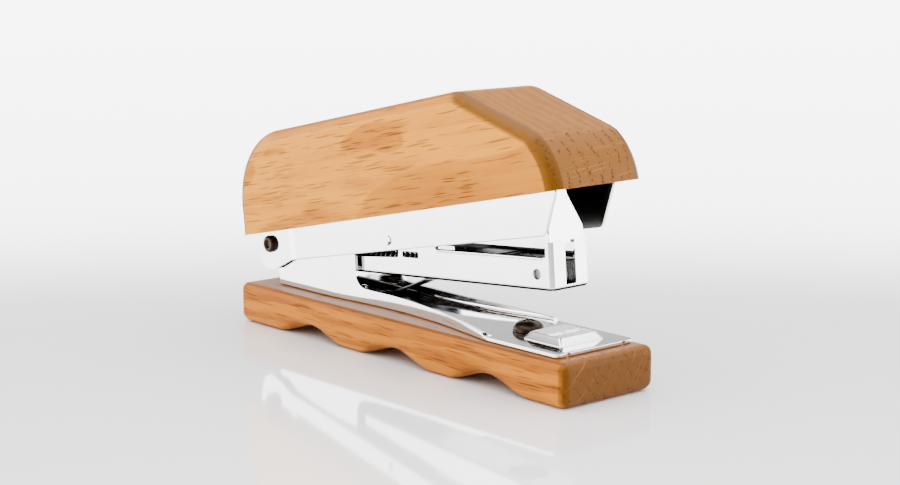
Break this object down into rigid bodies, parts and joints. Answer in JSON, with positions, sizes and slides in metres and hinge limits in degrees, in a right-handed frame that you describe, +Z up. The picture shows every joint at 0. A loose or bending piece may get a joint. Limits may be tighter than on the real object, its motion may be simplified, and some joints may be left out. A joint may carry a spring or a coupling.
{
  "type": "mini desk stapler",
  "caption": "Small desk stapler: nickel-plated steel mechanism between an oak cover and an oak base with finger grooves, handle and magazine hinged on one rear rivet.",
  "frame": {"origin": "middle of the length and width of the wooden base, on its resting face", "axes": "+X towards the nose where staples come out, +Y to the stapler's left, +Z up"},
  "size_m": [0.109, 0.0258, 0.0595],
  "materials": {
    "oak_cover": "satin oiled oak, fine pores along its length",
    "oak_base": "satin oiled oak, more orange than the cover",
    "nickel_plate": "bright nickel-plated sheet steel",
    "spring_steel": "drawn spring steel",
    "staple_wire": "galvanised staple wire",
    "blackened_steel": "dark brown blackened steel"
  },
  "bodies": {
    "base": {"wood_base": "oak_base", "base_plate": "nickel_plate", "anvil": "nickel_plate", "plate_screw_front": "blackened_steel", "plate_screw_rear": "blackened_steel", "hinge_rivet": "blackened_steel", "return_spring": "spring_steel", "return_spring_rivet": "spring_steel"},
    "magazine": {"magazine": "nickel_plate", "rod_bracket": "nickel_plate", "bracket_rivet": "spring_steel", "guide_rod": "nickel_plate", "pusher_spring": "spring_steel", "staple_strip": "staple_wire", "hinge_bush": "spring_steel"},
    "pusher": {"pusher": "nickel_plate"},
    "handle": {"handle_frame": "nickel_plate", "wood_cover": "oak_cover", "cover_screw_rear": "blackened_steel", "cover_screw_front": "blackened_steel", "blade_rivet_rear": "spring_steel", "blade_rivet_front": "spring_steel", "handle_spring_rivet": "spring_steel", "driver_blade": "nickel_plate", "handle_spring": "spring_steel"}
  },
  "joints": [
    {"name": "magazine_pivot", "type": "hinge", "parent": "base", "child": "magazine", "pos_m": [-0.047, 0, 0.0189], "axis": [0, 1, 0], "range_deg": [0, 5.65], "stiffness_Nm_per_rad": 0.3, "springref_deg": -17.19, "deforming": ["return_spring"]},
    {"name": "handle_pivot", "type": "hinge", "parent": "magazine", "child": "handle", "pos_m": [-0.047, 0, 0.0189], "axis": [0, 1, 0], "range_deg": [-90, 5.73], "stiffness_Nm_per_rad": 0.5, "springref_deg": -1.72, "deforming": ["handle_spring"]},
    {"name": "pusher_slide", "type": "slide", "parent": "magazine", "child": "pusher", "axis": [-0.9968, 0, -0.0802], "range_m": [0, 0.016], "stiffness_N_per_m": 60, "springref_m": -0.01, "deforming": ["pusher_spring"]}
  ]
}
